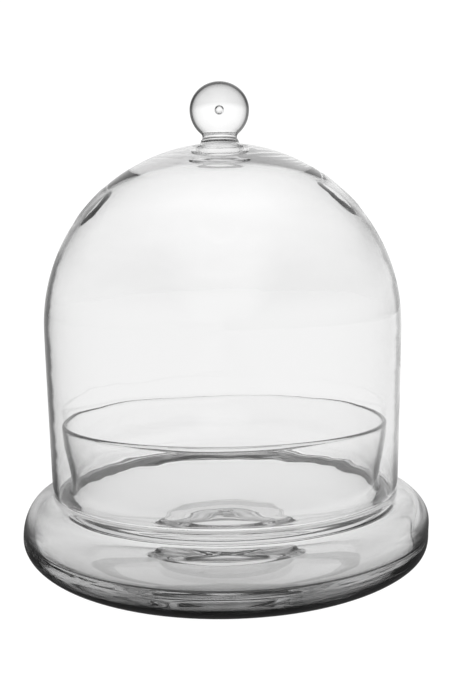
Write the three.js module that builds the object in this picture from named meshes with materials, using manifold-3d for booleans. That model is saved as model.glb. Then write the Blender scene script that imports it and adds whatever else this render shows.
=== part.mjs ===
// Glass bell jar with its terrarium base, in millimetres, +Z up.
// The origin is the centre of the foot, on the surface that the base stands on.
// Two pieces of glassware: a hollow squat bowl with an upright collar, and a bell that drops over the collar
// and stands on the bowl's shoulder. The bowl's underside is pushed up at the middle, and its floor rises over
// that in a round mound. The bell carries a solid ball knob on a flared pad, both joined on hot, and has two
// round vents, one each side.

import * as THREE from "three";
import { mergeVertices } from "three/addons/utils/BufferGeometryUtils.js";
import Module from "manifold-3d";

// ---- Driving dimensions ----
const SEAT_HEIGHT = 46; // the shoulder that the bell stands on
const FIT_GAP = 0.35; // air between any two pieces that rest on each other

const BASE_RADIUS = 117.2; // widest girth of the bowl
const GIRTH_HEIGHT = 22.2;
const FOOT_RADIUS = 80; // outside of the flat ring that touches the table
const FOOT_RING_WIDTH = 50;
const KICK_HEIGHT = 15; // how far the underside is pushed up at the middle
const SHOULDER_RADIUS = 99.5; // where the rounded side reaches the level of the seat
const BOWL_WALL = 7;
const FLOOR_THICKNESS = 14; // at the foot ring
const FLOOR_RADIUS = 76; // outside of the flat ring of the inner floor
const MOUND_RADIUS = 38; // raised middle of the floor, over the kick
const MOUND_HEIGHT = 28.5; // of the mound's rounded edge
const MOUND_DOME = 0.5; // how much higher its middle is
const MOUND_SLOPE = 7; // how much wider it is where it meets the floor

const COLLAR_HEIGHT = 40; // above the seat
const COLLAR_RIM_RADIUS = 93.8; // outside, at the top
const COLLAR_WAIST_RADIUS = 89.6; // outside, at its narrowest, just above the seat
const COLLAR_WAIST_RISE = 6; // how far the waist is above the seat
const COLLAR_WALL = 2.8;

const BELL_FOOT_RADIUS = 100; // outside, at the rim
const BELL_RADIUS = 102.1; // outside, at the top of the upright wall
const BELL_SPRING_HEIGHT = 140; // where the upright wall becomes the rounded crown
const BELL_TOP_HEIGHT = 243; // outside of the crown
const BELL_WALL = 2.9;
const CROWN_WALL = 6.5; // thickest glass, towards the middle of the crown
const CROWN_SPREAD = Math.PI / 4; // from the top, where the crown has thinned to the wall
const BOSS_RADIUS = 13.8; // low boss inside the crown, under the knob
const BOSS_HEIGHT = 235.5; // of its flat underside
const CROWN_RISE = BELL_TOP_HEIGHT - BELL_SPRING_HEIGHT;

const VENT_DIAMETER = 26;
const VENT_TILT = Math.PI / 4; // of the vent's axis, from upright

const PAD_RADIUS = 14; // flared pad between the crown and the knob
const PAD_HEIGHT = 2.2; // above the crown's top
const PAD_EDGE = 0.9; // thickness at its edge
const NECK_RADIUS = 10.4;
const BALL_RADIUS = 17.1;
const BALL_HEIGHT = 262.4; // where the ball is widest
const BALL_RISE = 15.7; // from there to its top, which is a little flattened

// How finely the round pieces are divided.
const BIG_SEGMENTS = 48;
const SMALL_SEGMENTS = 32;

// ---- Outline helpers: every outline is a list of [radius, height] ----

// Part of an ellipse about (centre radius, centre height), from one angle to another, in degrees.
function arc(centreR, centreZ, semiR, semiZ, fromDeg, toDeg, steps) {
  return Array.from({ length: steps + 1 }, (_, i) => {
    const t = THREE.MathUtils.degToRad(fromDeg + ((toDeg - fromDeg) * i) / steps);
    return [centreR + semiR * Math.cos(t), centreZ + semiZ * Math.sin(t)];
  });
}

// A cubic curve from a to b, leaving a towards handle ha and arriving at b from handle hb.
function cubic(a, ha, hb, b, steps) {
  const curve = new THREE.CubicBezierCurve(...[a, ha, hb, b].map(([r, z]) => new THREE.Vector2(r, z)));
  return curve.getPoints(steps).map((p) => [p.x, p.y]);
}

// Turns an outline about the upright axis. The outline runs anticlockwise, seen with +Z up and radius to the
// right, and both its ends are on the axis.
function turned(outline, segments) {
  const points = outline
    .filter((p, i) => i === 0 || Math.hypot(p[0] - outline[i - 1][0], p[1] - outline[i - 1][1]) > 1e-3)
    .map(([r, z]) => new THREE.Vector2(Math.max(r, 0), z));
  return new THREE.LatheGeometry(points, segments).rotateX(Math.PI / 2);
}

// ---- Solids for cutting ----
const wasm = await Module();
wasm.setup();

function toSolid(geometry) {
  const bare = geometry.clone().deleteAttribute("normal").deleteAttribute("uv");
  const merged = mergeVertices(bare, 1e-4);
  return new wasm.Manifold(
    new wasm.Mesh({
      numProp: 3,
      vertProperties: merged.getAttribute("position").array,
      triVerts: new Uint32Array(merged.index.array),
    }),
  );
}

function toGeometry(solid) {
  const mesh = solid.getMesh();
  const geometry = new THREE.BufferGeometry();
  geometry.setAttribute("position", new THREE.BufferAttribute(mesh.vertProperties, 3));
  geometry.setIndex(new THREE.BufferAttribute(mesh.triVerts, 1));
  geometry.computeVertexNormals();
  return geometry;
}

// ---- Materials ----
function glass(name, color) {
  const material = new THREE.MeshStandardMaterial({ color, roughness: 0.02, metalness: 0 });
  material.name = name;
  material.transparent = true;
  material.opacity = 0.35;
  return material;
}
const baseGlass = glass("base_glass", 0xdfe4e4);
const bellGlass = glass("bell_glass", 0xe9eded);
const knobGlass = glass("knob_glass", 0xe4e8e8);

// ---- Pieces ----

// The floor's raised middle, from its foot on the flat ring to the axis.
function mound() {
  const footRadius = MOUND_RADIUS + MOUND_SLOPE;
  const top = MOUND_HEIGHT + MOUND_DOME;
  const foot = [footRadius + 3, FLOOR_THICKNESS];
  const brow = [MOUND_RADIUS + 2.5, MOUND_HEIGHT - 5];
  const edge = [MOUND_RADIUS - 4, MOUND_HEIGHT];
  return [
    ...cubic(foot, [footRadius - 2, FLOOR_THICKNESS], [footRadius - 3, FLOOR_THICKNESS + 3], brow, 6),
    ...cubic(brow, [MOUND_RADIUS + 1, MOUND_HEIGHT - 1.5], [MOUND_RADIUS - 1, MOUND_HEIGHT - 0.2], edge, 4),
    ...cubic(edge, [MOUND_RADIUS * 0.6, top], [MOUND_RADIUS * 0.3, top], [0, top], 4),
  ];
}

// The bowl and its collar: one blown piece, open at the top.
function baseBowl() {
  const footInner = FOOT_RADIUS - FOOT_RING_WIDTH;
  const rimRadius = COLLAR_WALL / 2;
  const rimZ = SEAT_HEIGHT + COLLAR_HEIGHT - rimRadius;
  const waistZ = SEAT_HEIGHT + COLLAR_WAIST_RISE;
  const seatInner = COLLAR_WAIST_RADIUS + 3.4;
  const underside = cubic(
    [0, KICK_HEIGHT],
    [footInner * 0.55, KICK_HEIGHT],
    [footInner * 0.88, 1.6],
    [footInner, 0],
    8,
  );
  const lowerSide = arc(FOOT_RADIUS, GIRTH_HEIGHT, BASE_RADIUS - FOOT_RADIUS, GIRTH_HEIGHT, -90, 0, 7);
  const upperSide = arc(
    SHOULDER_RADIUS,
    GIRTH_HEIGHT,
    BASE_RADIUS - SHOULDER_RADIUS,
    SEAT_HEIGHT - GIRTH_HEIGHT,
    0,
    90,
    7,
  );
  const root = cubic(
    [seatInner, SEAT_HEIGHT],
    [seatInner - 3, SEAT_HEIGHT],
    [COLLAR_WAIST_RADIUS, waistZ - 3.5],
    [COLLAR_WAIST_RADIUS, waistZ],
    3,
  );
  const collarOutside = cubic(
    [COLLAR_WAIST_RADIUS, waistZ],
    [COLLAR_WAIST_RADIUS, waistZ + 12],
    [COLLAR_RIM_RADIUS, rimZ - 12],
    [COLLAR_RIM_RADIUS, rimZ],
    3,
  );
  const rim = arc(COLLAR_RIM_RADIUS - rimRadius, rimZ, rimRadius, rimRadius, 0, 180, 4);
  const collarInside = [...collarOutside].reverse().map(([r, z]) => [r - COLLAR_WALL, z]);
  const neckInner = COLLAR_WAIST_RADIUS - COLLAR_WALL;
  const ceilingZ = SEAT_HEIGHT - BOWL_WALL;
  const neckInside = cubic(
    [neckInner, waistZ],
    [neckInner, waistZ - 6],
    [neckInner + 3, ceilingZ],
    [SHOULDER_RADIUS - 2, ceilingZ],
    4,
  );
  const upperInside = arc(
    SHOULDER_RADIUS - 2,
    GIRTH_HEIGHT + 1,
    BASE_RADIUS - BOWL_WALL - SHOULDER_RADIUS + 2,
    ceilingZ - GIRTH_HEIGHT - 1,
    90,
    0,
    5,
  );
  const lowerInside = arc(
    FLOOR_RADIUS,
    GIRTH_HEIGHT + 1,
    BASE_RADIUS - BOWL_WALL - FLOOR_RADIUS,
    GIRTH_HEIGHT + 1 - FLOOR_THICKNESS,
    0,
    -90,
    6,
  );
  const outline = [
    ...underside,
    ...lowerSide,
    ...upperSide,
    ...root,
    ...collarOutside,
    ...rim,
    ...collarInside,
    ...neckInside,
    ...upperInside,
    ...lowerInside,
    ...mound(),
  ];
  return turned(outline, BIG_SEGMENTS);
}

// A point on the crown's inside, at an angle from its top. The glass thickens smoothly towards the top.
function crownInner(angle) {
  const thinned = Math.min(angle / CROWN_SPREAD, 1);
  const wall = BELL_WALL + (CROWN_WALL - BELL_WALL) * Math.cos((thinned * Math.PI) / 2) ** 2;
  return [(BELL_RADIUS - wall) * Math.sin(angle), BELL_SPRING_HEIGHT + (CROWN_RISE - wall) * Math.cos(angle)];
}

// The bell before the vents are cut.
function bellShell() {
  const rimRadius = BELL_WALL / 2;
  const rimZ = SEAT_HEIGHT + FIT_GAP + rimRadius;
  const wallOutside = cubic(
    [BELL_FOOT_RADIUS, rimZ],
    [BELL_FOOT_RADIUS + 0.8, rimZ + 30],
    [BELL_RADIUS, BELL_SPRING_HEIGHT - 9.5],
    [BELL_RADIUS, BELL_SPRING_HEIGHT],
    6,
  );
  const crownOutside = arc(0, BELL_SPRING_HEIGHT, BELL_RADIUS, CROWN_RISE, 0, 90, 13);
  const besideBoss = Math.asin((BOSS_RADIUS + 3) / BELL_RADIUS);
  const steps = 11;
  const crownInside = Array.from({ length: steps + 1 }, (_, i) =>
    crownInner(THREE.MathUtils.lerp(besideBoss, Math.PI / 2, i / steps)),
  );
  const [besideR, besideZ] = crownInside[0];
  const boss = cubic(
    [BOSS_RADIUS - 2.4, BOSS_HEIGHT],
    [BOSS_RADIUS + 0.6, BOSS_HEIGHT],
    [besideR - 2, besideZ + 0.3],
    [besideR, besideZ],
    4,
  );
  const wallInside = [...wallOutside].reverse().map(([r, z]) => [r - BELL_WALL, z]);
  const rim = arc(BELL_FOOT_RADIUS - rimRadius, rimZ, rimRadius, rimRadius, -180, 0, 4);
  const inside = [[0, BOSS_HEIGHT], ...boss, ...crownInside, ...wallInside];
  return turned([...inside, ...rim, ...wallOutside, ...crownOutside], BIG_SEGMENTS);
}

// A round cutter along a vent's axis. side is 1 for +X and -1 for -X.
function ventCutter(side) {
  const reach = BELL_RADIUS * 0.5;
  return new THREE.CylinderGeometry(VENT_DIAMETER / 2, VENT_DIAMETER / 2, reach, 24)
    .translate(0, BELL_RADIUS, 0)
    .rotateX(Math.PI / 2)
    .rotateY(side * VENT_TILT)
    .translate(0, 0, BELL_SPRING_HEIGHT);
}

function bellWithVents() {
  let solid = toSolid(bellShell());
  for (const side of [1, -1]) {
    solid = solid.subtract(toSolid(ventCutter(side)));
  }
  return toGeometry(solid);
}

// Height of the crown's outside at a radius from the axis.
function crownHeight(r) {
  return BELL_SPRING_HEIGHT + CROWN_RISE * Math.sqrt(1 - (r / BELL_RADIUS) ** 2);
}

// The pad spreads over the crown and rises to the knob's neck.
function crownPad() {
  const top = BELL_TOP_HEIGHT + PAD_HEIGHT;
  const steps = 5;
  const underside = Array.from({ length: steps + 1 }, (_, i) => {
    const r = (PAD_RADIUS * i) / steps;
    return [r, crownHeight(r) + FIT_GAP];
  });
  const lipZ = underside[steps][1] + PAD_EDGE;
  const flare = cubic(
    [PAD_RADIUS, lipZ],
    [PAD_RADIUS - 1.5, lipZ + 0.4],
    [NECK_RADIUS + 1.6, top - 0.6],
    [NECK_RADIUS + 0.6, top],
    4,
  );
  return turned([...underside, ...flare, [0, top]], SMALL_SEGMENTS);
}

// A solid ball drawn in to a short neck.
function knobBall() {
  const bottom = BELL_TOP_HEIGHT + PAD_HEIGHT + FIT_GAP;
  const neckAngle = -50; // degrees, where the ball gives way to the neck
  const ball = [
    ...arc(0, BALL_HEIGHT, BALL_RADIUS, BALL_RADIUS, neckAngle, 0, 5),
    ...arc(0, BALL_HEIGHT, BALL_RADIUS, BALL_RISE, 0, 90, 8),
  ];
  const [neckR, neckZ] = ball[0];
  const reach = (neckZ - bottom) * 0.5;
  const turn = THREE.MathUtils.degToRad(neckAngle);
  const neck = cubic(
    [NECK_RADIUS, bottom],
    [NECK_RADIUS, bottom + reach],
    [neckR + reach * Math.sin(turn), neckZ - reach * Math.cos(turn)],
    [neckR, neckZ],
    4,
  );
  return turned([[0, bottom], ...neck, ...ball], SMALL_SEGMENTS);
}

// ---- Assembly ----
const object = new THREE.Group();

function add(name, geometry, material, parent) {
  const mesh = new THREE.Mesh(geometry, material);
  mesh.name = name;
  parent.add(mesh);
}

const bell = new THREE.Group(); // everything that lifts off together
object.add(bell);

add("base_bowl", baseBowl(), baseGlass, object);
add("bell_shell", bellWithVents(), bellGlass, bell);
add("crown_pad", crownPad(), knobGlass, bell);
add("ball_knob", knobBall(), knobGlass, bell);

export default object;
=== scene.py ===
"""The looks of the glass bell jar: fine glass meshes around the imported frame, a pale floor and studio light.

The row frame: +Z up along the axis, the foot on Z = 0, the vents on +X and -X. Outlines are in millimetres, as
arrays of [radius, height] running anticlockwise, and Blender objects are in metres.
"""

import math

import bmesh
import bpy
import numpy as np
from mathutils import Matrix, Vector, noise


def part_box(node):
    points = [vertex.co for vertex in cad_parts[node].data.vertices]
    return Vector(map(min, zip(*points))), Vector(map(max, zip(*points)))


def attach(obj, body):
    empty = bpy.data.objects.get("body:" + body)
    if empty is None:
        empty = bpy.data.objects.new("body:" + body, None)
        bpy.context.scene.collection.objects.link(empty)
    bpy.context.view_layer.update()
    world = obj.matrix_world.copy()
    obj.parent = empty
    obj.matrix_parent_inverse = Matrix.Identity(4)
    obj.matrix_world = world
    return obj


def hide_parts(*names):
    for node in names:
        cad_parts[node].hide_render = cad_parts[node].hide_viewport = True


MM = 0.001
SEGMENTS = 240  # round the axis

# ---- Glass, in millimetres, apart from what the frame gives ----
BOWL_WALL = 7.0
FOOT_OUTER = 80.0
FOOT_INNER = 30.0  # the ring where the kick starts
KICK_HEIGHT = 15.0
MOUND_RADIUS = 38.0  # of the raised middle of the floor
MOUND_HEIGHT = 28.5
MOUND_SLOPE = 7.0  # how much wider the mound is at the floor
SHOULDER_RADIUS = 99.5
GIRTH_HEIGHT = 22.2
FLOOR_HEIGHT = 14.0
FLOOR_RADIUS = 76.0
SEAT_HEIGHT = 46.0
FULLER_SIDE = 1.6  # how much fuller the bowl is on its +X side, above and below the girth
COLLAR_RIM_RADIUS = 93.8
COLLAR_WAIST_RADIUS = 89.6
COLLAR_WAIST_RISE = 6.0
COLLAR_ROOT = 3.4  # from the waist out to where the shoulder is level
COLLAR_WALL = 2.8

BELL_FOOT_RADIUS = 100.0
BELL_SPRING = 140.0  # height where the upright wall becomes the crown
BELL_WALL = 2.9
CROWN_WALL = 6.5
CROWN_SPREAD = math.radians(45)
BOSS_RADIUS = 13.8
BOSS_HEIGHT = 235.5
# one vent each: the side it is on, tilt from upright and turn to the front in degrees, radius, and how much of
# its lip is painted near-black as shade, halfway up, with the change from there to its lowest point
VENTS = ((1, 42.5, 6.0, 12.2, 0.0, 1.3), (-1, 47.0, 6.5, 9.8, 1.1, 0.6))
VENT_LIP = 2.6  # how far the lip rounds back from the hole
VENT_BEAD = 0.25  # how far the fire-polished lip stands proud of the wall, on each side
VENT_BEAD_WIDTH = 1.8
LIP_DEPTH = 0.85  # how far in the lip rounds halfway up, as a share of VENT_LIP
LIP_LEAN = 0.45  # how much less of that at the vent's top, and more at its bottom
VENT_PATCH = (math.radians(31.4), math.radians(57.1))  # angles from the top that a vent's patch lies between
VENT_PATCH_COLUMNS = 15  # of the grid, to each side of the vent
PAD_RADIUS = 14.0
PAD_RISE = 2.2
NECK_RADIUS = 10.4
KNOB_SPLIT = 246.0  # height where the knob's rims take over from the bell's
BALL_RADIUS = 17.1
BALL_CENTRE = 262.4
BALL_TOP = 278.1
BUBBLE_RADIUS = 1.85

BELL_WAVE = 0.10  # depth of the hand-blown unevenness
BASE_WAVE = 0.12
MOUND_WAVE = 1.0
WAVES = ((0.7, 34.0), (0.3, 13.0))  # share of the depth, and length
WAVE_STRETCH = 3.0  # how much longer the waves run round the axis than along it
CALM_HEIGHT = 2.0  # there are no waves at the table, and full ones from here up
CALM_RADIUS = 6.0  # nor on the axis, and full ones from here out

# ---- Rims: painted shade on the glass's edges, grey by how far the surface turns away (0 face on, 1 edge on) ----
WALL_RIM = ((0.73, 1.0), (0.76, 0.65), (0.78, 0.12), (0.82, 0.03), (0.87, 0.08), (0.93, 0.45), (1.0, 0.75))
# painted light: the +X side's rims, paler than the -X side's as if more light falls on that side
LIT_SIDE_RIM = ((0.73, 1.0), (0.76, 0.85), (0.79, 0.50), (0.83, 0.38), (0.88, 0.50), (0.93, 0.75), (1.0, 0.90))
KNOB_RIM = ((0.05, 1.0), (0.35, 0.86), (0.50, 0.62), (0.60, 0.12), (0.72, 0.02), (0.90, 0.06), (1.0, 0.40))
BELLY_RIM = ((0.50, 1.0), (0.58, 0.80), (0.64, 0.24), (0.78, 0.06), (0.92, 0.06), (1.0, 0.35))
# painted shade on the glass's outside just above the foot, where it meets the table: grey by height, as a
# share of FOOT_EDGE
FOOT_SHADE = ((0.08, 0.60), (0.28, 0.06), (0.42, 0.06), (0.54, 0.55), (0.66, 1.0))
FOOT_EDGE = 30.0
EAST_OF_GLASS = (-0.02, 0.08)  # where the -X side's rims change to the +X side's, painted paler as if more light falls there, in metres
SPLIT_SOFTNESS = 0.002  # half the height over which the low rims change to the high ones, in metres
STREAK_STRETCH = (14.0, 14.0, 160.0)  # noise cells per metre along the axes
STRIAE_STRETCH = (22.0, 22.0, 90.0)
SMUDGE_CELLS = 28.0  # per metre
CLEAR = (1.0, 1.0, 1.0, 1)

# ---- Light ----
# (place, grey) in the room that the glass mirrors, by the direction's height: 0 straight down, 1 straight up
MIRRORED_ROOM = (
    (0.0, 0.05),
    (0.47, 0.15),
    (0.50, 0.60),
    (0.53, 0.72),
    (0.57, 0.90),
    (0.64, 1.0),
    (0.78, 1.0),
    (0.86, 0.80),
    (0.93, 0.45),
    (1.0, 0.35),
)
OPEN_ROOM = ((0.49, 0.84), (0.56, 1.05))  # the room seen straight through the glass, likewise
# painted shade on the floor seen through glass, darkest at the front: by how far back it is, from 0 at the
# near end of the reach to 1 at its far end
LIT_FLOOR_REACH = (-0.15, 0.15)  # metres along Y, like the other distances here
LIT_FLOOR = ((0.0, 0.25), (0.18, 0.32), (0.24, 0.42), (0.32, 0.60), (0.42, 0.76), (0.56, 0.86), (1.0, 0.88))
EVEN_FLOOR = (0.16, 0.30)  # distances from the axis over which the painted shade on the floor seen through glass gives way to an even grey
MIRRORED_FLOOR = (0.08, 0.85)  # grey of the floor that the glass mirrors, close to the axis and far from it: painted shade, dark near the glass where its shadow falls
MIRRORED_FLOOR_REACH = (0.12, 0.45)  # distances over which it changes
WEST_FLOOR = (-0.5, 0.5)  # painted shade: X from which it is dimmed to the share, and X where it no longer is, as if less light falls on the -X side
WEST_FLOOR_SHARE = 0.5
WEST_ROOM = (-0.8, 0.8)  # the same for the mirrored room, by the direction's X
WEST_ROOM_SHARE = 0.6
ROOM_SIDES = (0.62, 0.20)  # it is dimmed on both sides too, by the direction's X without its sign,
ROOM_HIGH = (0.70, 0.50)  # where it is high up, by the direction's height as above
ROOM_SIDES_SHARE = 0.15
MIRRORED_OFTEN = 0.95  # grey of the room from the third mirroring on
WHITE = (1, 1, 1, 1)
WORLD_STRENGTH = 1.1
FLOOR_REACH = 12.0  # metres
FLOOR_GAP = 0.0003  # below the foot

# ---- Camera ----
CAMERA_AT = (0.0, -0.4989, 0.1667)
CAMERA_PITCH = math.radians(4.8)
CAMERA_ROLL = math.radians(0.9)
SENSOR = 36.0
LENS = 44.06
SHIFT_X = 0.0149


# ---- Outline helpers ----
def arc(centre, semi, from_deg, to_deg, steps):
    t = np.radians(np.linspace(from_deg, to_deg, steps + 1))
    return np.stack([centre[0] + semi[0] * np.cos(t), centre[1] + semi[1] * np.sin(t)], axis=1)


def cubic(a, ha, hb, b, steps):
    t = np.linspace(0, 1, steps + 1)[:, None]
    a, ha, hb, b = (np.array(p, float) for p in (a, ha, hb, b))
    return (1 - t) ** 3 * a + 3 * t * (1 - t) ** 2 * ha + 3 * t**2 * (1 - t) * hb + t**3 * b


def line(a, b, steps):
    return np.linspace(a, b, steps + 1)


def joined(*parts):
    """The parts end to end, each shared point once."""
    points = [np.asarray(parts[0], float)]
    for part in parts[1:]:
        same = np.allclose(points[-1][-1], part[0], atol=1e-6)
        points.append(np.asarray(part, float)[1 if same else 0 :])
    return np.concatenate(points)


# ---- Outlines ----
def underside():
    """From the axis to the foot ring: a low kick, with a crease where it meets the ring."""
    r = FOOT_INNER
    return cubic((0, KICK_HEIGHT), (r * 0.55, KICK_HEIGHT), (r * 0.88, 1.6), (r, 0), 24)


def floor_inside():
    """From the bowl's corner to the axis: a flat ring, then the mound that the kick pushes up."""
    r, h = MOUND_RADIUS, MOUND_HEIGHT
    foot = r + MOUND_SLOPE
    return joined(
        line((FLOOR_RADIUS, FLOOR_HEIGHT), (foot + 3, FLOOR_HEIGHT), 12),
        cubic(
            (foot + 3, FLOOR_HEIGHT),
            (foot - 2, FLOOR_HEIGHT),
            (foot - 3, FLOOR_HEIGHT + 3),
            (r + 2.5, h - 5),
            16,
        ),
        cubic((r + 2.5, h - 5), (r + 1, h - 1.5), (r - 1, h - 0.2), (r - 4, h), 12),
        cubic((r - 4, h), (r * 0.6, h + 0.5), (r * 0.3, h + 0.5), (0, h + 0.5), 16),
    )


def base_outline(girth, collar_top):
    lip = COLLAR_WALL / 2
    rim_z = collar_top - lip
    waist = COLLAR_WAIST_RADIUS
    waist_z = SEAT_HEIGHT + COLLAR_WAIST_RISE
    ceiling = SEAT_HEIGHT - BOWL_WALL
    root = waist + COLLAR_ROOT
    neck = waist - COLLAR_WALL
    under_shoulder = SHOULDER_RADIUS - 2
    mid = GIRTH_HEIGHT + 1
    inner = girth - BOWL_WALL
    top = (COLLAR_RIM_RADIUS, rim_z)
    collar = cubic((waist, waist_z), (waist, waist_z + 12), (COLLAR_RIM_RADIUS, rim_z - 12), top, 24)
    return joined(
        underside(),
        line((FOOT_INNER, 0), (FOOT_OUTER, 0), 12),
        arc((FOOT_OUTER, GIRTH_HEIGHT), (girth - FOOT_OUTER, GIRTH_HEIGHT), -90, 0, 40),
        arc((SHOULDER_RADIUS, GIRTH_HEIGHT), (girth - SHOULDER_RADIUS, SEAT_HEIGHT - GIRTH_HEIGHT), 0, 90, 32),
        line((SHOULDER_RADIUS, SEAT_HEIGHT), (root, SEAT_HEIGHT), 6),
        cubic((root, SEAT_HEIGHT), (root - 3, SEAT_HEIGHT), (waist, waist_z - 3.5), (waist, waist_z), 12),
        collar,
        arc((COLLAR_RIM_RADIUS - lip, rim_z), (lip, lip), 0, 180, 12),
        collar[::-1] - [COLLAR_WALL, 0],
        cubic((neck, waist_z), (neck, waist_z - 6), (neck + 3, ceiling), (under_shoulder, ceiling), 18),
        arc((under_shoulder, mid), (inner - under_shoulder, ceiling - mid), 90, 0, 24),
        arc((FLOOR_RADIUS, mid), (inner - FLOOR_RADIUS, mid - FLOOR_HEIGHT), 0, -90, 32),
        floor_inside(),
    )


def crown_wall(angle):
    """Thickness at an angle from the crown's top."""
    thinned = np.minimum(np.asarray(angle) / CROWN_SPREAD, 1)
    return BELL_WALL + (CROWN_WALL - BELL_WALL) * np.cos(thinned * math.pi / 2) ** 2


class Bell:
    """The bell's measures, taken from the frame's boxes where it has them."""

    def __init__(self):
        low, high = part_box("bell_shell")
        self.radius = high.x / MM
        self.foot = low.z / MM
        self.rise = high.z / MM - BELL_SPRING
        self.top = high.z / MM

    def surface(self, angle, inside):
        wall = crown_wall(angle) if inside else 0 * np.asarray(angle)
        r = (self.radius - wall) * np.sin(angle)
        return np.stack([r, BELL_SPRING + (self.rise - wall) * np.cos(angle)], axis=-1)

    def level(self, p, inside):
        """Negative below the crown's outer or inner surface, positive above it, for a point in millimetres."""
        r, z = math.hypot(p.x, p.y), p.z - BELL_SPRING
        wall = float(crown_wall(math.atan2(r / self.radius, z / self.rise))) if inside else 0.0
        return math.hypot(r / (self.radius - wall), z / (self.rise - wall)) - 1


CROWN_STEP = math.radians(1.5)
CROWN_ROWS = np.arange(60) * CROWN_STEP + CROWN_STEP  # angles from the top, 1.5 to 90 degrees


def bell_outline(bell):
    """The outline, and for the crown's inside and outside the first row with the rows' angles."""
    lip = BELL_WALL / 2
    rim_z = bell.foot + lip
    beside_boss = math.asin((BOSS_RADIUS + 3) / bell.radius)
    inside_rows = CROWN_ROWS[CROWN_ROWS >= beside_boss]
    crown_in = bell.surface(inside_rows, True)
    beside = crown_in[0]
    boss = joined(
        line((0, BOSS_HEIGHT), (BOSS_RADIUS - 2.4, BOSS_HEIGHT), 8),
        cubic(
            (BOSS_RADIUS - 2.4, BOSS_HEIGHT),
            (BOSS_RADIUS + 0.6, BOSS_HEIGHT),
            (beside[0] - 2, beside[1] + 0.3),
            beside,
            10,
        ),
    )
    wall = cubic(
        (BELL_FOOT_RADIUS, rim_z),
        (BELL_FOOT_RADIUS + 0.8, rim_z + 30),
        (bell.radius, BELL_SPRING - 9.5),  # keeps the curvature the same on both sides of the spring
        (bell.radius, BELL_SPRING),
        40,
    )
    rim = arc((BELL_FOOT_RADIUS - lip, rim_z), (lip, lip), -180, 0, 12)
    pad_angle = math.asin(PAD_RADIUS / bell.radius)
    outside_rows = CROWN_ROWS[CROWN_ROWS > pad_angle][::-1]
    crown_out = bell.surface(outside_rows, False)
    upright = joined(boss, crown_in, wall[::-1] - [BELL_WALL, 0], rim, wall)
    outline = joined(upright, crown_out, knob_outline(bell))
    return outline, (len(boss) - 1, inside_rows), (len(upright) - 1, outside_rows)


def knob_outline(bell):
    """From the pad's edge on the crown, over the ball, to the axis."""
    edge = bell.surface(math.asin(PAD_RADIUS / bell.radius), False)
    pad_top = bell.top + PAD_RISE
    low_half = arc((0, BALL_CENTRE), (BALL_RADIUS, BALL_RADIUS), -50, 0, 18)
    ball = joined(low_half, arc((0, BALL_CENTRE), (BALL_RADIUS, BALL_TOP - BALL_CENTRE), 0, 90, 30))
    neck_r, neck_z = ball[0]
    reach = (neck_z - pad_top) * 0.5
    turn = math.radians(-50)
    return joined(
        cubic(edge, edge + [-1.6, 0.35], (NECK_RADIUS + 0.5, pad_top - 1.5), (NECK_RADIUS + 0.4, pad_top), 10),
        cubic(
            (NECK_RADIUS + 0.4, pad_top),
            (NECK_RADIUS - 0.5, pad_top + 0.3),
            (neck_r + reach * math.sin(turn), neck_z - reach * math.cos(turn)),
            (neck_r, neck_z),
            10,
        ),
        ball,
    )


# ---- Meshes ----
def turned(bm, outline, left_out=()):
    """Turns the outline about the axis. left_out holds (row, column) of the faces that aren't made."""
    turns = 2 * math.pi * np.arange(SEGMENTS) / SEGMENTS
    rows = []
    for r, z in outline:
        if r < 1e-6:
            rows.append([bm.verts.new((0, 0, z * MM))])
        else:
            rows.append([bm.verts.new((r * math.cos(t) * MM, r * math.sin(t) * MM, z * MM)) for t in turns])
    for i in range(len(rows) - 1):
        for j in range(SEGMENTS):
            if (i, j) in left_out:
                continue
            k = (j + 1) % SEGMENTS
            a, b = rows[i], rows[i + 1]
            if len(a) == 1:
                bm.faces.new((a[0], b[k], b[j]))
            elif len(b) == 1:
                bm.faces.new((a[j], a[k], b[0]))
            else:
                bm.faces.new((a[j], a[k], b[k], b[j]))
    return rows


def patch_edge(rows, i0, i1, columns):
    """The vertices round a patch of the grid, in order."""
    across = [c % SEGMENTS for c in columns]
    loop = [rows[i0][c] for c in across]
    loop += [rows[i][across[-1]] for i in range(i0 + 1, i1 + 1)]
    loop += [rows[i1][c] for c in reversed(across[:-1])]
    loop += [rows[i][across[0]] for i in range(i1 - 1, i0, -1)]
    return loop


class Vent:
    """One round vent's place. Points near it are given by two distances across its axis."""

    def __init__(self, bell, side, tilt, turn, radius, lip_shade, lip_shade_change):
        tilt, turn = math.radians(tilt), math.radians(turn)
        flat = math.sin(tilt)
        self.bell = bell
        self.radius = radius
        self.lip_shade = lip_shade
        self.lip_shade_change = lip_shade_change
        self.centre = Vector((0, 0, BELL_SPRING))
        self.axis = Vector((side * flat * math.cos(turn), -flat * math.sin(turn), math.cos(tilt)))
        self.u = Vector((0, 0, 1)).cross(self.axis).normalized()
        self.w = self.axis.cross(self.u)

    def flat(self, co):
        d = co / MM - self.centre
        return np.array([d.dot(self.u), d.dot(self.w)])

    def on_crown(self, q, inside):
        """The point of the crown's surface over q, found by halving, and raised beside the hole."""
        start = self.centre + self.u * q[0] + self.w * q[1]
        low, high = self.bell.radius * 0.6, self.bell.radius * 1.1
        for _ in range(30):
            mid = (low + high) / 2
            if self.bell.level(start + self.axis * mid, inside) > 0:
                high = mid
            else:
                low = mid
        beside = (np.linalg.norm(q) - self.radius - VENT_LIP) / VENT_BEAD_WIDTH
        bead = VENT_BEAD * math.exp(-(beside**2))
        return (start + self.axis * (low - bead if inside else low + bead)) * MM


def bridge(bm, a, b):
    after_a, after_b = a[1:] + a[:1], b[1:] + b[:1]
    return [bm.faces.new(corners) for corners in zip(a, after_a, after_b, b)]


def mark_lip_shade(bm, vent, faces, directions):
    """Marks the lip's faces with painted shade, most of all towards the vent's lowest point."""
    lip_shade = bm.faces.layers.float["lip_shade"]
    for face, d in zip(faces, directions):
        low = -(vent.u * d[0] + vent.w * d[1]).z
        face[lip_shade] = min(max(vent.lip_shade + vent.lip_shade_change * low, 0), 1)


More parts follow.
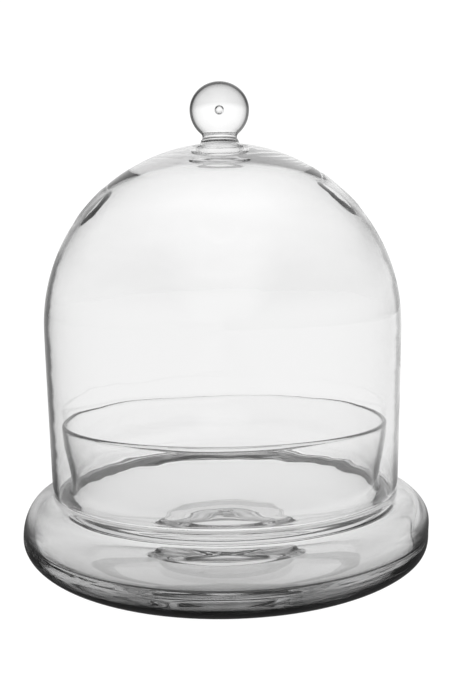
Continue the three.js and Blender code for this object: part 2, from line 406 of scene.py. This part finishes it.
def vent_surface(bm, vent, edge, inside, rings=12):
    """Fills from a patch's edge to the lip, and returns the lip's vertices and their directions."""
    flat_edge = [vent.flat(v.co) for v in edge]
    directions = [q / np.linalg.norm(q) for q in flat_edge]
    last = edge
    for k in range(1, rings + 1):
        t = k / rings
        ring = []
        for q, d in zip(flat_edge, directions):
            p = (1 - t) * q + t * d * (vent.radius + VENT_LIP)
            ring.append(bm.verts.new(vent.on_crown(p, inside)))
        faces = bridge(bm, last, ring)
        last = ring
    mark_lip_shade(bm, vent, faces, directions)
    return last, directions


def vent_lip(bm, vent, outer, inner, directions, steps=10):
    """Rounds the wall's edge over from the outer ring to the inner one."""
    last = outer
    for k in range(1, steps + 1):
        s = math.pi * k / steps
        ring = inner
        if k < steps:
            ring = []
            for a, b, d in zip(outer, inner, directions):
                outward = vent.u * d[0] + vent.w * d[1]
                inward = outward * (VENT_LIP * MM * (LIP_LEAN * outward.z - LIP_DEPTH))
                middle, half = (a.co + b.co) / 2, (a.co - b.co) / 2
                ring.append(bm.verts.new(middle + half * math.cos(s) + inward * math.sin(s)))
        mark_lip_shade(bm, vent, bridge(bm, last, ring), directions)
        last = ring


def sphere(bm, centre, radius, rings=14, sides=28):
    """A round air bubble: a closed surface whose faces point into it."""
    rows = []
    for i in range(1, rings):
        t = math.pi * i / rings
        z, r = radius * math.cos(t), radius * math.sin(t)
        turns = [2 * math.pi * j / sides for j in range(sides)]
        rows.append([bm.verts.new(centre + Vector((r * math.cos(a), r * math.sin(a), z))) for a in turns])
    top = bm.verts.new(centre + Vector((0, 0, radius)))
    bottom = bm.verts.new(centre - Vector((0, 0, radius)))
    for j in range(sides):
        k = (j + 1) % sides
        bm.faces.new((top, rows[0][k], rows[0][j]))
        bm.faces.new((bottom, rows[-1][j], rows[-1][k]))
        for i in range(len(rows) - 1):
            bm.faces.new((rows[i][j], rows[i][k], rows[i + 1][k], rows[i + 1][j]))


def roughen(bm, seed, depth, mound_depth):
    """Hand-blown unevenness: each vertex sinks into the glass by a smooth, uneven amount."""
    bm.normal_update()
    moves = []
    for v in bm.verts:
        r, z = math.hypot(v.co.x, v.co.y) / MM, v.co.z / MM
        calm = min(max(z / CALM_HEIGHT, 0), 1) * min(r / CALM_RADIUS, 1)
        on_mound = FLOOR_HEIGHT + 1 < z < MOUND_HEIGHT + 2 and r < MOUND_RADIUS + MOUND_SLOPE
        sunk = 0
        for share, length in WAVES:
            where = Vector((v.co.x, v.co.y, v.co.z * WAVE_STRETCH)) / (length * MM)
            sunk += share * (0.5 + 0.5 * noise.noise(where + Vector((seed, 0, 0))))
        moves.append(v.normal * (-sunk * calm * (mound_depth if on_mound else depth) * MM))
    for v, move in zip(bm.verts, moves):
        v.co += move


def fill_out(bm):
    """The bowl is a little fuller on its +X side, above and below the girth."""
    for v in bm.verts:
        r = math.hypot(v.co.x, v.co.y)
        lift = abs(v.co.z / MM - GIRTH_HEIGHT) / (SEAT_HEIGHT - GIRTH_HEIGHT)
        if r < FOOT_OUTER * MM or lift > 1:
            continue
        east = max(v.co.x / r, 0) ** 2
        fuller = FULLER_SIDE * MM * east * math.sin(math.pi * lift) ** 2 / r
        v.co.x += v.co.x * fuller
        v.co.y += v.co.y * fuller


def to_object(bm, name):
    mesh = bpy.data.meshes.new(name)
    bm.to_mesh(mesh)
    bm.free()
    mesh.polygons.foreach_set("use_smooth", [True] * len(mesh.polygons))
    piece = bpy.data.objects.new(name, mesh)
    bpy.context.scene.collection.objects.link(piece)
    return piece


def make_base():
    low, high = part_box("base_bowl")
    bm = bmesh.new()
    turned(bm, base_outline(high.x / MM, high.z / MM))
    bmesh.ops.recalc_face_normals(bm, faces=bm.faces)
    fill_out(bm)
    roughen(bm, 11.3, BASE_WAVE, MOUND_WAVE)
    return to_object(bm, "base_glass")


def facing_axis(vent, edge):
    """The patch's edge turned anticlockwise in the vent's plane, from its easternmost vertex."""
    flat = [vent.flat(v.co) for v in edge]
    turn = sum(a[0] * b[1] - a[1] * b[0] for a, b in zip(flat, flat[1:] + flat[:1]))
    if turn < 0:
        edge, flat = edge[::-1], flat[::-1]
    start = max(range(len(flat)), key=lambda i: flat[i][0])
    return edge[start:] + edge[:start]


def make_bell():
    bell = Bell()
    outline, in_crown, out_crown = bell_outline(bell)
    near, far = VENT_PATCH
    left_out = set()
    patches = []
    for side, *shape in VENTS:
        middle = 0 if side > 0 else SEGMENTS // 2
        columns = list(range(middle - VENT_PATCH_COLUMNS, middle + VENT_PATCH_COLUMNS + 1))
        vent = Vent(bell, side, *shape)
        for (row, angles), inside in ((out_crown, False), (in_crown, True)):
            chosen = [row + i for i, angle in enumerate(angles) if near <= angle <= far]
            left_out |= {(i, c % SEGMENTS) for i in chosen[:-1] for c in columns[:-1]}
            patches.append((vent, inside, chosen[0], chosen[-1], columns))
    bm = bmesh.new()
    bm.faces.layers.float.new("lip_shade")
    rows = turned(bm, outline, left_out)
    outer = None
    for vent, inside, first, last, columns in patches:
        edge = facing_axis(vent, patch_edge(rows, first, last, columns))
        hole, directions = vent_surface(bm, vent, edge, inside)
        if inside:
            vent_lip(bm, vent, outer, hole, directions)
        outer = hole
    bmesh.ops.recalc_face_normals(bm, faces=bm.faces)
    roughen(bm, 47.9, BELL_WAVE, BELL_WAVE)
    sphere(bm, Vector((0, 0, BALL_CENTRE * MM)), BUBBLE_RADIUS * MM)
    return to_object(bm, "bell_glass")


# ---- Materials ----
def nodes_of(name):
    material = bpy.data.materials.new(name)
    material.use_nodes = True
    tree = material.node_tree
    tree.nodes.clear()
    return material, tree


def grey(level):
    return (level, level, level, 1)


def mapped(tree, value, given, wanted=(0, 1), smooth=False):
    """The value carried from one range to another, and held at both ends."""
    node = tree.nodes.new("ShaderNodeMapRange")
    if smooth:
        node.interpolation_type = "SMOOTHSTEP"
    for name, limit in zip(("From Min", "From Max", "To Min", "To Max"), (*given, *wanted)):
        node.inputs[name].default_value = limit
    tree.links.new(value, node.inputs["Value"])
    return node.outputs["Result"]


def between(tree, value, low, high):
    """0 up to low, 1 from high."""
    return mapped(tree, value, (low, high), smooth=True)


def worked_out(tree, kind, operation, values):
    """A math node over sockets and constants."""
    node = tree.nodes.new(kind)
    node.operation = operation
    for value, socket in zip(values, node.inputs):
        if isinstance(value, (int, float, tuple)):
            socket.default_value = value
        else:
            tree.links.new(value, socket)
    return node


def number(tree, operation, *values):
    return worked_out(tree, "ShaderNodeMath", operation, values).outputs["Value"]


def vector(tree, operation, *values):
    return worked_out(tree, "ShaderNodeVectorMath", operation, values).outputs["Vector"]


def measure(tree, operation, *values):
    """A vector operation whose result is a number."""
    return worked_out(tree, "ShaderNodeVectorMath", operation, values).outputs["Value"]


def parts_of(tree, value):
    """A vector's X, Y and Z."""
    node = tree.nodes.new("ShaderNodeSeparateXYZ")
    tree.links.new(value, node.inputs["Vector"])
    return node.outputs


def grey_ramp(tree, value, stops, power=1):
    """Grey over a value, from (value, grey) stops.

    Glass tints a ray by the root of its colour, hence power 2 there.
    """
    ramp = tree.nodes.new("ShaderNodeValToRGB")
    for _ in stops[2:]:
        ramp.color_ramp.elements.new(0.5)
    for element, (position, level) in zip(ramp.color_ramp.elements, stops):
        element.position = position
        element.color = grey(level**power)
    tree.links.new(value, ramp.inputs["Fac"])
    return ramp.outputs["Color"]


def blend(tree, factor, a, b):
    mix = tree.nodes.new("ShaderNodeMix")
    mix.data_type = "RGBA"
    tree.links.new(factor, mix.inputs["Factor"])
    for value, name in ((a, "A"), (b, "B")):
        if isinstance(value, tuple):
            mix.inputs[name].default_value = value
        else:
            tree.links.new(value, mix.inputs[name])
    return mix.outputs["Result"]


def dimmed(tree, colour, lit, share):
    """The colour, down to a share of it where lit is 0."""
    scale = tree.nodes.new("ShaderNodeVectorMath")
    scale.operation = "SCALE"
    tree.links.new(colour, scale.inputs[0])
    tree.links.new(mapped(tree, lit, (0, 1), (share, 1)), scale.inputs["Scale"])
    return scale.outputs["Vector"]


def unevenness(tree, place, scale, detail, stretch=None):
    """Noise over the object, from 0 to 1, stretched by different amounts along its axes."""
    waves = tree.nodes.new("ShaderNodeTexNoise")
    waves.inputs["Scale"].default_value = scale
    waves.inputs["Detail"].default_value = detail
    if stretch:
        mapping = tree.nodes.new("ShaderNodeMapping")
        mapping.inputs["Scale"].default_value = stretch
        tree.links.new(place, mapping.inputs["Vector"])
        place = mapping.outputs["Vector"]
    tree.links.new(place, waves.inputs["Vector"])
    return waves.outputs["Fac"]


def painted_rim_shade(tree, place, split, rims, streaks):
    """Painted shade in the glass's colour: dark rims on the outside, and clear on the inside and on top of the
    shoulder.

    The three rims are for below the height split on the -X side, below it on the +X side, painted paler as if
    more light falls there, and above it.
    """
    low_rim, low_rim_lit_side, high_rim = rims
    x, _, z = parts_of(tree, place)
    facing = tree.nodes.new("ShaderNodeLayerWeight")
    facing.inputs["Blend"].default_value = 0.5
    shape = tree.nodes.new("ShaderNodeNewGeometry")
    normal = shape.outputs["Normal"]
    streak = mapped(tree, unevenness(tree, place, 1.0, 3.0, STREAK_STRETCH), (0.3, 0.7), (-streaks, streaks))
    turned_away = number(tree, "ADD", facing.outputs["Facing"], streak)
    # painted shade: the low rims darken as the surface turns away, wavered by streak noise
    west = grey_ramp(tree, turned_away, low_rim, 2)
    # painted light: on the +X side the low rims are paler, as if more light falls there
    low = blend(tree, between(tree, x, *EAST_OF_GLASS), west, grey_ramp(tree, turned_away, low_rim_lit_side, 2))
    # painted shade: a dark band low on the glass just above the foot, where it meets the table
    foot = grey_ramp(tree, mapped(tree, z, (0, FOOT_EDGE * MM)), FOOT_SHADE, 2)
    low = vector(tree, "MULTIPLY", low, foot)
    # painted shade: the high rims darken as the surface turns away too
    high = grey_ramp(tree, facing.outputs["Facing"], high_rim, 2)
    rim = blend(tree, between(tree, z, split - SPLIT_SOFTNESS, split + SPLIT_SOFTNESS), low, high)
    outward = measure(tree, "DOT_PRODUCT", vector(tree, "MULTIPLY", place, (1, 1, 0)), normal)
    outside = blend(tree, between(tree, outward, 0.0, 0.001), CLEAR, rim)
    below = between(tree, z, split + SPLIT_SOFTNESS, split - SPLIT_SOFTNESS)
    upward = number(tree, "MULTIPLY", between(tree, parts_of(tree, normal)["Z"], 0.30, 0.70), below)
    return blend(tree, upward, outside, CLEAR)


def glass_material(name, split, rims, density, streaks):
    """Clear glass: faint absorption, fine striae, painted shade as dark rims, and near-black matt painted
    shade where the faces are marked with lip shade.
    """
    material, tree = nodes_of(name)
    add, link = tree.nodes.new, tree.links.new
    out = add("ShaderNodeOutputMaterial")
    place = add("ShaderNodeTexCoord").outputs["Object"]
    shader = add("ShaderNodeBsdfPrincipled")
    shader.inputs["Transmission Weight"].default_value = 1.0
    shader.inputs["IOR"].default_value = 1.5
    # painted shade: the rims darken the glass's colour towards its edges
    link(painted_rim_shade(tree, place, split, rims, streaks), shader.inputs["Base Color"])
    smudges = mapped(tree, unevenness(tree, place, SMUDGE_CELLS, 4.0), (0.45, 0.75), (0, 0.03))
    link(smudges, shader.inputs["Roughness"])
    bump = add("ShaderNodeBump")
    bump.inputs["Strength"].default_value = 0.10
    bump.inputs["Distance"].default_value = 0.0004
    link(unevenness(tree, place, 1.0, 2.0, STRIAE_STRETCH), bump.inputs["Height"])
    link(bump.outputs["Normal"], shader.inputs["Normal"])
    absorb = add("ShaderNodeVolumeAbsorption")
    absorb.inputs["Color"].default_value = grey(0.60)
    absorb.inputs["Density"].default_value = density
    # painted shade: near-black matt faces on the vent lips, as strong as their lip shade mark
    matt = add("ShaderNodeBsdfDiffuse")
    matt.inputs["Color"].default_value = grey(0.01)
    lip_shade = add("ShaderNodeAttribute")
    lip_shade.attribute_name = "lip_shade"
    lips = add("ShaderNodeMixShader")
    link(lip_shade.outputs["Fac"], lips.inputs["Fac"])
    link(shader.outputs["BSDF"], lips.inputs[1])
    link(matt.outputs["BSDF"], lips.inputs[2])
    link(lips.outputs["Shader"], out.inputs["Surface"])
    link(absorb.outputs["Volume"], out.inputs["Volume"])
    return material


def floor_material():
    """A pale sweep that glows: white as the camera sees it, and greyer with painted shade through the glass
    and mirrored in it.
    """
    material, tree = nodes_of("pale_floor")
    add, link = tree.nodes.new, tree.links.new
    out = add("ShaderNodeOutputMaterial")
    path = add("ShaderNodeLightPath")
    place = add("ShaderNodeTexCoord").outputs["Object"]
    x, y, _ = parts_of(tree, place)
    away = measure(tree, "LENGTH", place)
    # painted shade: the floor seen through glass is darker towards the front close to the axis
    beside_axis = grey_ramp(tree, mapped(tree, y, LIT_FLOOR_REACH), LIT_FLOOR)
    seen = blend(tree, between(tree, away, *EVEN_FLOOR), beside_axis, grey(LIT_FLOOR[-1][1]))
    close, far = MIRRORED_FLOOR
    # painted shade: the mirrored floor is dark close to the axis, and dimmed on the -X side
    mirrored = blend(tree, between(tree, away, *MIRRORED_FLOOR_REACH), grey(close), grey(far))
    mirrored = dimmed(tree, mirrored, between(tree, x, *WEST_FLOOR), WEST_FLOOR_SHARE)
    through = blend(tree, path.outputs["Glossy Depth"], seen, mirrored)
    glow = add("ShaderNodeEmission")
    link(blend(tree, path.outputs["Is Camera Ray"], through, WHITE), glow.inputs["Color"])
    matt = add("ShaderNodeBsdfDiffuse")
    matt.inputs["Color"].default_value = grey(0.06)
    both = add("ShaderNodeAddShader")
    link(matt.outputs["BSDF"], both.inputs[0])
    link(glow.outputs["Emission"], both.inputs[1])
    link(both.outputs["Shader"], out.inputs["Surface"])
    return material


# ---- Stage ----
def make_floor():
    bm = bmesh.new()
    bmesh.ops.create_circle(bm, cap_ends=True, radius=FLOOR_REACH, segments=64)
    bmesh.ops.translate(bm, verts=bm.verts, vec=(0, 0, -FLOOR_GAP))
    floor = to_object(bm, "floor")
    floor.data.materials.append(floor_material())


def mirrored_room(tree, x, upward):
    """The ceiling that the glass mirrors: dimmer to the west, and dim high up on both sides."""
    ceiling = grey_ramp(tree, upward, MIRRORED_ROOM)
    ceiling = dimmed(tree, ceiling, between(tree, x, *WEST_ROOM), WEST_ROOM_SHARE)
    ahead = between(tree, number(tree, "ABSOLUTE", x), *ROOM_SIDES)
    low_down = between(tree, upward, *ROOM_HIGH)
    return dimmed(tree, ceiling, number(tree, "MAXIMUM", ahead, low_down), ROOM_SIDES_SHARE)


def make_world():
    """White all round for the camera. The glass shows and mirrors a room with a grey ceiling."""
    world = bpy.data.worlds.new("studio")
    bpy.context.scene.world = world
    world.use_nodes = True
    tree = world.node_tree
    tree.nodes.clear()
    add, link = tree.nodes.new, tree.links.new
    out = add("ShaderNodeOutputWorld")
    background = add("ShaderNodeBackground")
    path = add("ShaderNodeLightPath")
    x, _, z = parts_of(tree, add("ShaderNodeTexCoord").outputs["Generated"])
    upward = mapped(tree, z, (-1, 1))
    often = between(tree, path.outputs["Glossy Depth"], 1.0, 3.0)
    mirrored = blend(tree, often, mirrored_room(tree, x, upward), grey(MIRRORED_OFTEN))
    through = blend(tree, path.outputs["Glossy Depth"], grey_ramp(tree, upward, OPEN_ROOM), mirrored)
    link(blend(tree, path.outputs["Is Camera Ray"], through, WHITE), background.inputs["Color"])
    background.inputs["Strength"].default_value = WORLD_STRENGTH
    link(background.outputs["Background"], out.inputs["Surface"])


def make_camera():
    data = bpy.data.cameras.new("camera")
    data.sensor_width = SENSOR
    data.lens = LENS
    data.shift_x = SHIFT_X
    data.clip_start = 0.01
    camera = bpy.data.objects.new("camera", data)
    bpy.context.scene.collection.objects.link(camera)
    level = Matrix.Rotation(math.pi / 2 - CAMERA_PITCH, 4, "X")
    camera.matrix_world = Matrix.Translation(CAMERA_AT) @ level @ Matrix.Rotation(-CAMERA_ROLL, 4, "Z")
    bpy.context.scene.camera = camera


def set_light_paths():
    scene = bpy.context.scene
    scene.view_settings.view_transform = "Standard"
    scene.cycles.max_bounces = 32
    scene.cycles.transmission_bounces = 32
    scene.cycles.glossy_bounces = 24
    scene.cycles.sample_clamp_indirect = 4.0


# ---- The scene ----
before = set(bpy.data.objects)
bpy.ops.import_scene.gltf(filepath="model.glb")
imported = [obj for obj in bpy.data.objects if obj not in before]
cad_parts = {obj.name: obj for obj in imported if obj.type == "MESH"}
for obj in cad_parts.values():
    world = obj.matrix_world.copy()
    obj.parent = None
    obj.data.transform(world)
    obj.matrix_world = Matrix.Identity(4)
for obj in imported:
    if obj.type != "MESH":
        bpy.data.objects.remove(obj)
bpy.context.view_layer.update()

set_light_paths()
make_camera()
make_world()
make_floor()

base = make_base()
base_rims = (BELLY_RIM, BELLY_RIM, WALL_RIM)
base_glass = glass_material("clear_base_glass", SEAT_HEIGHT * MM, base_rims, density=10.0, streaks=0.16)
base.data.materials.append(base_glass)
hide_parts("base_bowl")
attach(base, "base")

bell = make_bell()
bell_rims = (WALL_RIM, LIT_SIDE_RIM, KNOB_RIM)
bell_glass = glass_material("clear_bell_glass", KNOB_SPLIT * MM, bell_rims, density=4.0, streaks=0.02)
bell.data.materials.append(bell_glass)
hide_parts("bell_shell", "crown_pad", "ball_knob")
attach(bell, "bell")
